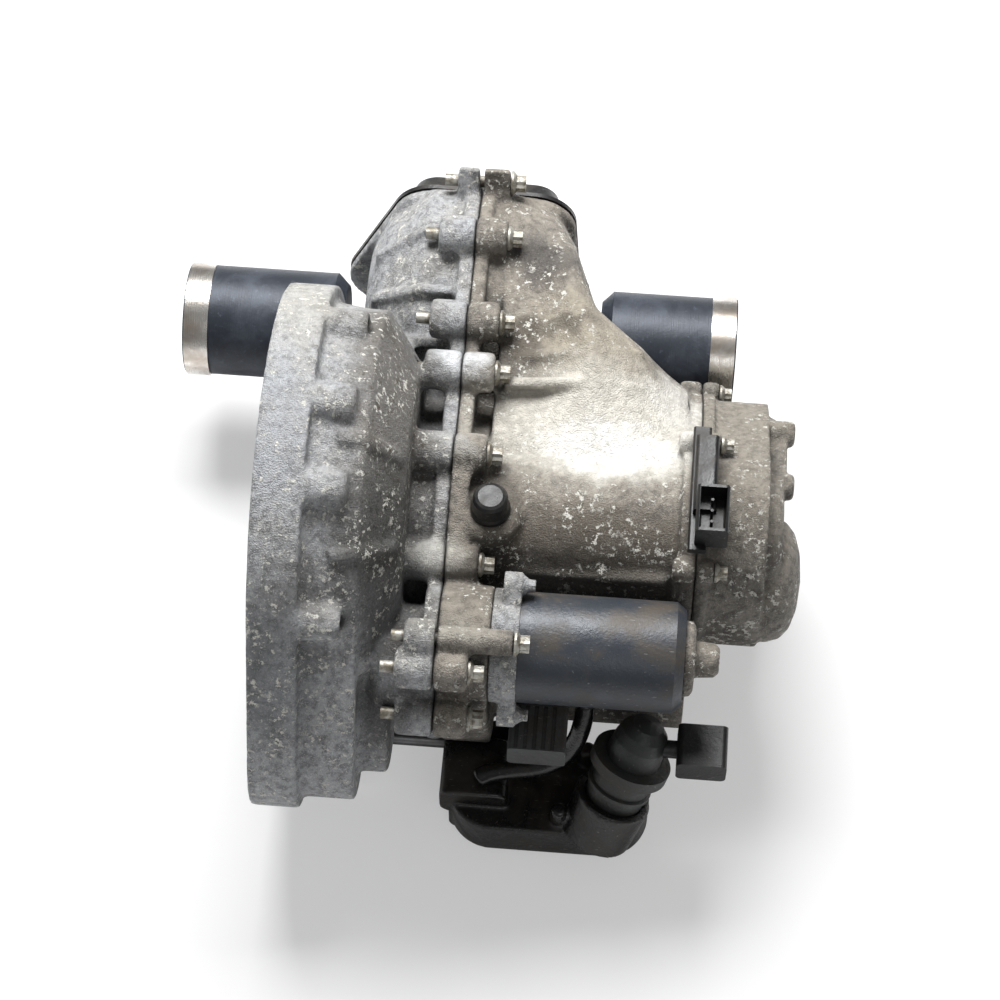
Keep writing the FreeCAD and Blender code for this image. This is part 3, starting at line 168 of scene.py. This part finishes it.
def casting(clean, dust, dust_share, oil_share, fleck_share, zones=()):
    """Sand-cast metal. Layers, from below: sandy grain, oil blotches, dust that lies on upper sides, zones of
    stain, painted highlight and painted shadow as (colour, centre, reach, share), oxide flecks, rubbed edges,
    dirt and painted shade in corners, and oil with painted shade low down."""
    pit, pore_shadow, glint = shade(clean, 0.42), rgb(44, 42, 40), shade(clean, 2.0, 0.8)
    oil, fleck, bare = rgb(50, 46, 40), rgb(224, 222, 214), rgb(186, 187, 184)
    corner_dirt_and_shade, shade_and_oil_low_colour = rgb(34, 31, 28), rgb(26, 24, 22)
    corner_width, edge_radius = 0.022, 0.0012
    zone_wander, wander_centre = 0.03, 0.015

    def look(place):
        up = place.node("TexCoord", out="Normal").axis(2)
        back = place.node("TexCoord", out="Normal").axis(1)
        broad = place.noise(11.0, 5.0, 0.6, 0.6)
        patch = place.noise(42.0, 7.0, 0.66, 0.4)
        mottle = place.noise(190.0, 5.0, 0.7)
        grain = place.noise(760.0, 3.0, 0.65)
        sand = place.cells(1150.0)
        corner = place.open_air(corner_width, 8)
        rounded = place.node("Bevel", {"samples": 6}, {"Radius": edge_radius})
        facing = place.node("NewGeometry", out="Normal")
        bend = 1.0 - place.node("VectorMath", {"operation": "DOT_PRODUCT"}, {0: rounded, 1: facing}, "Value")
        edge = bend.step(0.012, 0.10) * corner.step(0.5, 0.85)

        colour = flat(place, clean).over(mottle.step(0.44, 0.58) * 0.8, pit)
        colour = colour.over(grain.step(0.50, 0.64) * 0.5, glint)
        colour = colour.over(sand.step(0.10, 0.34, 0.5, 0.0), pore_shadow)
        blotch = (broad * 0.55 + patch * 0.45).step(0.50, 0.60) * oil_share
        colour = colour.over(blotch * 0.85, oil)
        lying = (up * 0.8 + back * 0.35).step(0.05, 0.9) * (broad * 0.5 + patch * 0.5).step(0.38, 0.56)
        lying = lying * dust_share * (1.0 - blotch * 0.6)
        colour = colour.over(lying * mottle.step(0.30, 0.60, 1.0, 0.55), dust)
        wander = place.noise(70.0, 6.0, 0.5, out="Color")
        strayed = place.node("VectorMath", {"operation": "MULTIPLY_ADD"},
                             {0: wander, 1: (zone_wander,) * 3, 2: place})
        # The zones lay real stains as well as painted highlights and painted shadows.
        for stain, centre, reach, share in zones:
            inside = strayed.near(tuple(v + wander_centre for v in centre), reach)
            colour = colour.over(inside * mottle.step(0.28, 0.56, 1.0, 0.6) * share, stain)
        flecks = place.noise(230.0, 5.0, 0.75).step(0.553, 0.585) * patch.step(0.44, 0.56) * fleck_share
        colour = colour.over(flecks, fleck)
        worn = edge * patch.step(0.32, 0.58, 0.3, 1.0)
        colour = colour.over(worn * 0.7, bare)
        # Dirt and painted shade in corners: darker where the open air around the surface is narrow.
        corner_dirt_and_shade_mask = corner.step(0.30, 0.92, 1.0, 0.0) * mottle.step(0.25, 0.60, 1.0, 0.72)
        colour = colour.over(corner_dirt_and_shade_mask * 0.92, corner_dirt_and_shade)
        # Painted shade with oil: darker low down and on faces turned away from the lamp behind, mottled like
        # oil.
        shade_and_oil_low_down = place.axis(2).step(-0.15, -0.035, 1.0, 0.0) * back.step(-0.9, 0.2, 1.0, 0.0)
        shade_and_oil_low_down = shade_and_oil_low_down * broad.step(0.32, 0.52) * oil_share
        colour = colour.over(shade_and_oil_low_down * 0.88, shade_and_oil_low_colour)
        rough = 0.66 + grain * 0.16 - worn * 0.24 - shade_and_oil_low_down * 0.34 - blotch * 0.16 + lying * 0.12
        height = grain * 0.55 + sand * 0.5 + mottle * 1.3 + patch * 1.9 + flecks * 0.35
        return {"Base Color": colour, "Metallic": 0.30 * (1.0 - lying) * (1.0 - corner_dirt_and_shade_mask), "Roughness": rough,
                "height": height, "depth": 0.0011, "rounded": rounded}

    return look


def cast(node, material, voxel=0.0021, rounds=6, bars=()):
    """The node's solid as it leaves the mould: a merged copy, with cast-on bars, is given an even skin of
    voxels and relaxed, each point going half way to its neighbours' mean in each round. That rounds edges and
    fills inner corners. The points stay inside the node's own box."""
    mesh = nodes[node].data.copy()
    work = bmesh.new()
    work.from_mesh(mesh)
    bmesh.ops.remove_doubles(work, verts=work.verts, dist=1e-6)
    for points, faces in bars:
        lump = bpy.data.meshes.new("lump")
        lump.from_pydata(points.tolist(), [], faces.tolist())
        work.from_mesh(lump)
    work.to_mesh(mesh)
    work.free()
    holder = bpy.data.objects.new(node + "_cast", mesh)
    bpy.context.scene.collection.objects.link(holder)
    skin = holder.modifiers.new("skin", "REMESH")
    skin.mode, skin.voxel_size, skin.use_smooth_shade = "VOXEL", voxel, True
    relax = holder.modifiers.new("relax", "SMOOTH")
    relax.factor, relax.iterations = 0.5, rounds
    shaped = bpy.data.meshes.new_from_object(holder.evaluated_get(bpy.context.evaluated_depsgraph_get()))
    holder.modifiers.clear()
    points = np.empty(len(shaped.vertices) * 3)
    shaped.vertices.foreach_get("co", points)
    low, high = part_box(node)
    points = np.clip(points.reshape(-1, 3), np.array(low), np.array(high))
    shaped.vertices.foreach_set("co", points.ravel())
    shaped.polygons.foreach_set("use_smooth", np.ones(len(shaped.polygons), dtype=bool))
    holder.data = shaped
    holder.data.materials.clear()
    holder.data.materials.append(material)
    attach(holder, "casing")
    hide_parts(node)


# Each zone is (colour, centre, reach along each axis, share), in metres. Some are stains, and some are
# painted highlights and painted shadows.
# Painted highlights: the lit tops of the bosses, lighter than the casting around them.
brightest_boss_highlight = (rgb(222, 224, 226), (0.118, 0.079, 0.072), (0.030, 0.016, 0.022), 0.95)
middle_boss_highlight = (rgb(196, 197, 196), (0.118, 0.014, 0.066), (0.026, 0.014, 0.016), 0.6)
lower_boss_highlight = (rgb(198, 196, 188), (0.112, -0.052, 0.044), (0.026, 0.018, 0.022), 0.7)
front_boss_highlight = (rgb(176, 172, 162), (0.128, -0.112, 0.062), (0.040, 0.022, 0.022), 0.6)
painted_boss_highlights = [brightest_boss_highlight, middle_boss_highlight, lower_boss_highlight, front_boss_highlight]
brown_belly = (rgb(80, 73, 62), (0.080, 0.01, 0.105), (0.044, 0.19, 0.10), 1.0)
dark_belly = (rgb(56, 58, 56), (0.084, -0.075, 0.085), (0.044, 0.08, 0.09), 0.9)
blue_lower_rim = (rgb(98, 104, 108), (0.014, -0.135, 0.02), (0.034, 0.06, 0.10), 0.6)
# Painted highlights: the upper edge of the rim, lit from above and behind.
cream_rim_painted_highlight = (rgb(190, 187, 178), (0.016, 0.09, 0.13), (0.03, 0.08, 0.06), 0.55)
pale_rim_top_painted_highlight = (rgb(168, 172, 180), (0.012, -0.03, 0.15), (0.034, 0.07, 0.05), 0.5)
oily_foot = (rgb(46, 42, 38), (0.092, -0.145, -0.01), (0.03, 0.03, 0.09), 0.8)

bell_cast = finish("speckled cast aluminium", casting(
    clean=rgb(172, 174, 177), dust=rgb(158, 151, 138), dust_share=0.45, oil_share=0.5, fleck_share=1.0,
    zones=[brown_belly, dark_belly, blue_lower_rim, cream_rim_painted_highlight, pale_rim_top_painted_highlight, oily_foot] + painted_boss_highlights))
cast("clutch_housing", bell_cast)


# Gear case, cast in aluminium like the bell housing and bolted to its flange. Road dirt has dried chalky
# white and brown on its top, and four low ribs are cast on it. A painted shadow darkens the gap under its
# front ledge, and painted highlights lighten the tops of its bosses.
def bar(path, radius, sides=12):
    """Round bar: a circle of the radius in the plane across each step of the path, with both ends closed
    by a point. Returns its points and faces."""
    path = np.array(path, dtype=float)
    along = np.gradient(path, axis=0)
    along /= np.linalg.norm(along, axis=1)[:, None]
    side = np.cross(along, (0.0, 0.3, 1.0))
    side /= np.linalg.norm(side, axis=1)[:, None]
    other = np.cross(along, side)
    angle = np.linspace(0.0, 2 * math.pi, sides, endpoint=False)[None, :, None]
    rings = path[:, None] + radius * (np.cos(angle) * side[:, None] + np.sin(angle) * other[:, None])
    low, high = np.repeat(path[:1, None], sides, 1), np.repeat(path[-1:, None], sides, 1)
    rings = np.concatenate([low, rings, high])
    row, turn_by = np.meshgrid(np.arange(len(rings) - 1) * sides, np.arange(sides), indexing="ij")
    after = (turn_by + 1) % sides
    faces = np.stack([row + turn_by, row + after, row + sides + after, row + sides + turn_by], axis=-1)
    return rings.reshape(-1, 3), faces.reshape(-1, 4)


buff_shoulder = (rgb(176, 167, 150), (0.205, 0.120, 0.060), (0.07, 0.05, 0.05), 0.8)
chalky_top = (rgb(228, 224, 214), (0.214, 0.050, 0.058), (0.12, 0.062, 0.06), 1.0)
white_middle = (rgb(246, 246, 242), (0.222, 0.034, 0.056), (0.07, 0.030, 0.04), 1.0)
brown_below = (rgb(84, 76, 65), (0.214, -0.032, 0.046), (0.10, 0.030, 0.05), 0.9)
chalky_slope = (rgb(224, 222, 216), (0.262, 0.080, 0.030), (0.035, 0.035, 0.05), 0.9)
black_crown = (rgb(50, 48, 50), (0.165, 0.176, 0.055), (0.034, 0.028, 0.04), 0.85)
dark_hollow = (rgb(58, 52, 44), (0.154, 0.104, 0.050), (0.024, 0.032, 0.04), 0.9)
dark_valley = (rgb(62, 56, 48), (0.176, 0.123, 0.056), (0.045, 0.011, 0.04), 0.8)
# Painted shadow in the gap under the front ledge.
ledge_gap_painted_shadow = (rgb(40, 37, 33), (0.190, -0.052, 0.026), (0.13, 0.022, 0.05), 0.9)
brown_flange = (rgb(56, 51, 45), (0.150, -0.012, 0.050), (0.024, 0.032, 0.05), 0.8)

dusty_cast = finish("dusty cast aluminium", casting(
    clean=rgb(132, 127, 120), dust=rgb(174, 165, 151), dust_share=0.65, oil_share=0.6, fleck_share=1.0,
    zones=[buff_shoulder, chalky_top, white_middle, brown_below, chalky_slope, black_crown, dark_hollow,
           dark_valley, ledge_gap_painted_shadow, brown_flange] + painted_boss_highlights))
lower_shoulder_rib = bar(
    [(0.146, 0.074, 0.056), (0.178, 0.076, 0.057), (0.209, 0.079, 0.057), (0.238, 0.083, 0.046)], 0.0045)
upper_shoulder_rib = bar(
    [(0.160, 0.100, 0.047), (0.185, 0.101, 0.056), (0.208, 0.101, 0.060), (0.236, 0.112, 0.040)], 0.0050)
ledge_rib = bar([(0.140, -0.046, 0.022), (0.200, -0.048, 0.022), (0.262, -0.050, 0.026)], 0.0040)
top_rib = bar([(0.150, 0.008, 0.050), (0.200, 0.008, 0.0505), (0.262, 0.008, 0.0505)], 0.0035)
cast("gear_case", dusty_cast, bars=[lower_shoulder_rib, upper_shoulder_rib, ledge_rib, top_rib])


# End cover over the right bearings, cast thinner and smoother than the gear case and held to it by six bolts.
# Its skin is brown-grey with a haze of oil.
cover_cast = finish("hazy cast aluminium", casting(
    clean=rgb(132, 128, 121), dust=rgb(160, 151, 137), dust_share=0.7, oil_share=0.6, fleck_share=0.8))
cast("end_cover", cover_cast, voxel=0.0016, rounds=5)


# Shafts, gears, bearings, differential and selector inside the casings: ground and hardened steel, wet with
# gear oil. Every node takes this finish, and the sections below give the outer pieces their own.
def wear(node, material):
    """Puts a finish on the CAD node itself."""
    nodes[node].data.materials.clear()
    nodes[node].data.materials.append(material)


def satin(dark, streak, smooth, dull, metal):
    """Smooth machined metal with faint turning rings round X and small stains. Its roughness goes from smooth
    to dull with the stains."""
    rings_in_a_metre = 1400.0
    glint = shade(streak, 1.8)

    def look(place):
        stain = place.noise(38.0, 7.0, 0.6, 0.5)
        fine = place.noise(260.0, 4.0, 0.6)
        rings = place.node("TexNoise", {"noise_dimensions": "1D"},
                           {"W": place.axis(0), "Scale": rings_in_a_metre, "Detail": 3.0})
        colour = flat(place, dark).over(stain.step(0.4, 0.7) * 0.7, streak)
        colour = colour.over(fine.step(0.58, 0.75) * 0.35, glint)
        rough = smooth + (dull - smooth) * stain + rings * 0.08
        return {"Base Color": colour, "Metallic": metal, "Roughness": rough,
                "height": rings * 0.4 + fine * 0.5 + stain, "depth": 0.00025}

    return look


oiled_steel = finish("oiled steel", satin(rgb(128, 128, 130), rgb(92, 88, 82), 0.2, 0.4, metal=0.95))
for node in nodes:
    wear(node, oiled_steel)


# Drive shaft cups, forged and machined from blue-black iron with a satin sheen. Each has a bright turned ring
# pressed round its mouth.
cup_iron = finish("blue-black iron", satin(rgb(42, 47, 56), rgb(72, 78, 88), 0.34, 0.56, metal=0.3))
bright_ring = finish("bright turned ring", satin(
    rgb(224, 221, 216), rgb(150, 134, 118), 0.14, 0.34, metal=1.0))
for side in ("left", "right"):
    wear(side + "_output_cup", cup_iron)
    wear(side + "_cup_band", bright_ring)


# Bolts that clamp the casings: flanged star heads of forged steel, zinc plated, gone dull, with grime and
# painted shade between the points.
def plated(place):
    """Zinc plate with stains, fine bright specks, and dirt with painted shade in the corners of the head."""
    corner = place.open_air(0.004)
    stain = place.noise(160.0, 6.0, 0.65)
    fine = place.noise(900.0, 3.0, 0.6)
    colour = flat(place, rgb(176, 174, 166)).over(stain.step(0.42, 0.6) * 0.8, rgb(108, 99, 84))
    colour = colour.over(fine.step(0.55, 0.7) * 0.4, rgb(214, 210, 198))
    # Dirt and painted shade in the corners of the head.
    colour = colour.over(corner.step(0.35, 0.9, 1.0, 0.0) * 0.85, rgb(36, 32, 27))
    return {"Base Color": colour, "Metallic": 0.75 * corner, "Roughness": 0.34 + stain * 0.3,
            "height": fine + stain, "depth": 0.0003}


plated_zinc = finish("dull zinc plate", plated)
wear("split_bolts", plated_zinc)
wear("cover_bolts", plated_zinc)


# Shift motor: a drawn steel can in dark grey-blue paint, smudged with brown dirt and scratched. A plate and
# an end cap, both cast, hold it to the casing.
def painted(paint, smudge, bare, smooth, dull):
    """Paint with smudges of dirt, scratches through to lighter metal, and dirt with painted shade in corners.
    Its roughness goes from smooth to dull with the smudges."""
    corner_dirt_and_shade = rgb(18, 17, 16)

    def look(place):
        up = place.node("TexCoord", out="Normal").axis(2)
        stain = place.noise(26.0, 7.0, 0.62, 0.6)
        fine = place.noise(420.0, 4.0, 0.6)
        drawn = place.node("Mapping", None,
                           {"Vector": place, "Rotation": (0.3, 0.2, 0.9), "Scale": (1.0, 9.0, 3.0)})
        scratch = drawn.noise(160.0, 2.0, 0.4).step(0.72, 0.745) * stain.step(0.4, 0.6)
        corner = place.open_air(0.014)
        colour = flat(place, paint).over(stain.step(0.44, 0.66) * up.step(-0.2, 0.8, 0.35, 0.8), smudge)
        colour = colour.over(scratch * 0.6, bare)
        colour = colour.over(fine.step(0.66, 0.72) * 0.3, bare)
        # Dirt and painted shade in corners.
        colour = colour.over(corner.step(0.3, 0.85, 1.0, 0.0) * 0.8, corner_dirt_and_shade)
        rough = smooth + (dull - smooth) * stain.step(0.3, 0.7)
        return {"Base Color": colour, "Metallic": 0.1, "Roughness": rough,
                "height": fine + stain * 1.5, "depth": 0.0003}

    return look


motor_paint = finish("dark motor paint", painted(
    rgb(52, 57, 64), rgb(78, 70, 60), rgb(158, 160, 160), 0.32, 0.56))
wear("motor_can", motor_paint)
cast("motor_plate", bell_cast, voxel=0.0009, rounds=3)
cast("motor_end", dusty_cast, voxel=0.0008, rounds=3)


# Clutch actuator below: a painted aluminium body on a cast foot, which is black and wet with grease. Both are
# screwed to the bell housing.
greasy_black = finish("greasy black paint", painted(
    rgb(24, 23, 22), rgb(50, 45, 39), rgb(142, 138, 130), 0.16, 0.5))
dull_grey = finish("dark grey paint", painted(
    rgb(46, 48, 48), rgb(62, 58, 50), rgb(150, 148, 142), 0.34, 0.6))
cast("actuator_housing", greasy_black, voxel=0.0013, rounds=5)
wear("actuator_body", dull_grey)


# Hose in front of the actuator: moulded black rubber, pushed on at both ends and wet with oil. Its line is a
# Bezier curve: the corner points blended by the binomial terms of the way along it.
corners = np.array([(0.146, -0.140, -0.104), (0.166, -0.128, -0.094), (0.206, -0.142, -0.100),
                    (0.214, -0.128, -0.066), (0.215, -0.110, -0.036)])
hose_radius, hose_sides, hose_steps = 0.0065, 20, 48
degree = len(corners) - 1
way = np.linspace(0.0, 1.0, hose_steps)[:, None]
line = sum(math.comb(degree, i) * way ** i * (1.0 - way) ** (degree - i) * corner
           for i, corner in enumerate(corners))
points, faces = bar(line, hose_radius, hose_sides)
hose_mesh = bpy.data.meshes.new("hose")
hose_mesh.from_pydata(points.tolist(), [], faces.tolist())
skin = bmesh.new()
skin.from_mesh(hose_mesh)
bmesh.ops.remove_doubles(skin, verts=skin.verts, dist=1e-5)
bmesh.ops.recalc_face_normals(skin, faces=skin.faces)
skin.to_mesh(hose_mesh)
skin.free()
hose_mesh.shade_smooth()
wet_rubber = finish("wet black rubber", painted(
    rgb(15, 15, 16), rgb(34, 31, 28), rgb(110, 108, 102), 0.1, 0.3))
hose_mesh.materials.append(wet_rubber)
hose = bpy.data.objects.new("hose", hose_mesh)
bpy.context.scene.collection.objects.link(hose)
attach(hose, "casing")


# Pan over the ring gear, pressed from sheet steel, painted black and held to the casing by its flange.
pan_paint = finish("black pan paint", painted(
    rgb(26, 26, 27), rgb(66, 60, 52), rgb(130, 126, 120), 0.35, 0.6))
wear("diff_cover", pan_paint)


# Breather cap, speed sensor and plugs: moulded in black plastic and clipped or screwed on. The connector
# block under the motor is grey.
moulded = finish("black moulded plastic", painted(
    rgb(20, 21, 23), rgb(54, 50, 45), rgb(132, 130, 126), 0.34, 0.6))
grey_plastic = finish("grey moulded plastic", painted(
    rgb(66, 68, 68), rgb(60, 54, 48), rgb(170, 168, 164), 0.45, 0.7))
wear("breather_cap", moulded)
wear("speed_sensor", moulded)
wear("actuator_plug", moulded)
wear("connector_block", grey_plastic)


# Floor, light and camera: a white studio floor, lit by a large lamp above and behind, from the photo's angle.
# The floor glows a little for the camera alone, which whitens it and leaves the shadow.
lowest = float(cad_box[0][2])
reach = 8.0
floor_mesh = bpy.data.meshes.new("floor")
floor_mesh.from_pydata([(-reach, -reach, lowest), (reach, -reach, lowest), (reach, reach, lowest),
                        (-reach, reach, lowest)], [], [(0, 1, 2, 3)])
floor = bpy.data.objects.new("floor", floor_mesh)
bpy.context.scene.collection.objects.link(floor)
floor_material = bpy.data.materials.new("white floor")
floor_material.use_nodes = True
floor_tree = floor_material.node_tree
floor_tree.nodes.clear()
glow_share = 0.4
paper = Wire(floor_tree)
plain = paper.node("BsdfDiffuse", None, {"Color": (0.9, 0.9, 0.9, 1.0)})
glow = paper.node("Emission", None, {"Color": (1.0, 1.0, 1.0, 1.0), "Strength": 1.0})
seen = paper.node("LightPath", out="Is Camera Ray") * glow_share
mixed = paper.node("MixShader", None, {0: seen, 1: plain, 2: glow})
paper.node("OutputMaterial", None, {"Surface": mixed})
floor_mesh.materials.append(floor_material)

world = bpy.data.worlds.new("studio")
bpy.context.scene.world = world
world.use_nodes = True
world.node_tree.nodes["Background"].inputs["Color"].default_value = (1.0, 1.0, 1.0, 1.0)
world.node_tree.nodes["Background"].inputs["Strength"].default_value = 0.25


def lamp(name, place, aim, size, watts):
    """Rectangular softbox at the place, turned to the aim."""
    light = bpy.data.lights.new(name, "AREA")
    light.shape, light.size, light.size_y, light.energy = "RECTANGLE", size[0], size[1], watts
    holder = bpy.data.objects.new(name, light)
    holder.location = place
    holder.rotation_euler = (Vector(aim) - Vector(place)).to_track_quat("-Z", "Y").to_euler()
    bpy.context.scene.collection.objects.link(holder)


lamp("top softbox", (0.0, 0.85, 1.45), (0.15, 0.05, 0.0), (1.0, 0.7), watts=54)
lamp("front softbox", (0.6, -1.3, 1.3), (0.15, 0.0, 0.0), (1.0, 0.7), watts=3.5)

camera = bpy.data.cameras.new("camera")
camera.lens, camera.sensor_width = 104.8, 36.0
camera.clip_start, camera.clip_end = 0.05, 50.0
eye = bpy.data.objects.new("camera", camera)
azimuth, elevation, distance = math.radians(4.6), math.radians(60.0), 1.95
looked_at = Vector((0.148, 0.017, 0.0))
back = Vector((math.sin(azimuth) * math.cos(elevation), -math.cos(azimuth) * math.cos(elevation),
               math.sin(elevation)))
eye.location = looked_at + back * distance
eye.rotation_euler = (-back).to_track_quat("-Z", "Y").to_euler()
bpy.context.scene.collection.objects.link(eye)
bpy.context.scene.camera = eye
bpy.context.scene.view_settings.view_transform = "Standard"
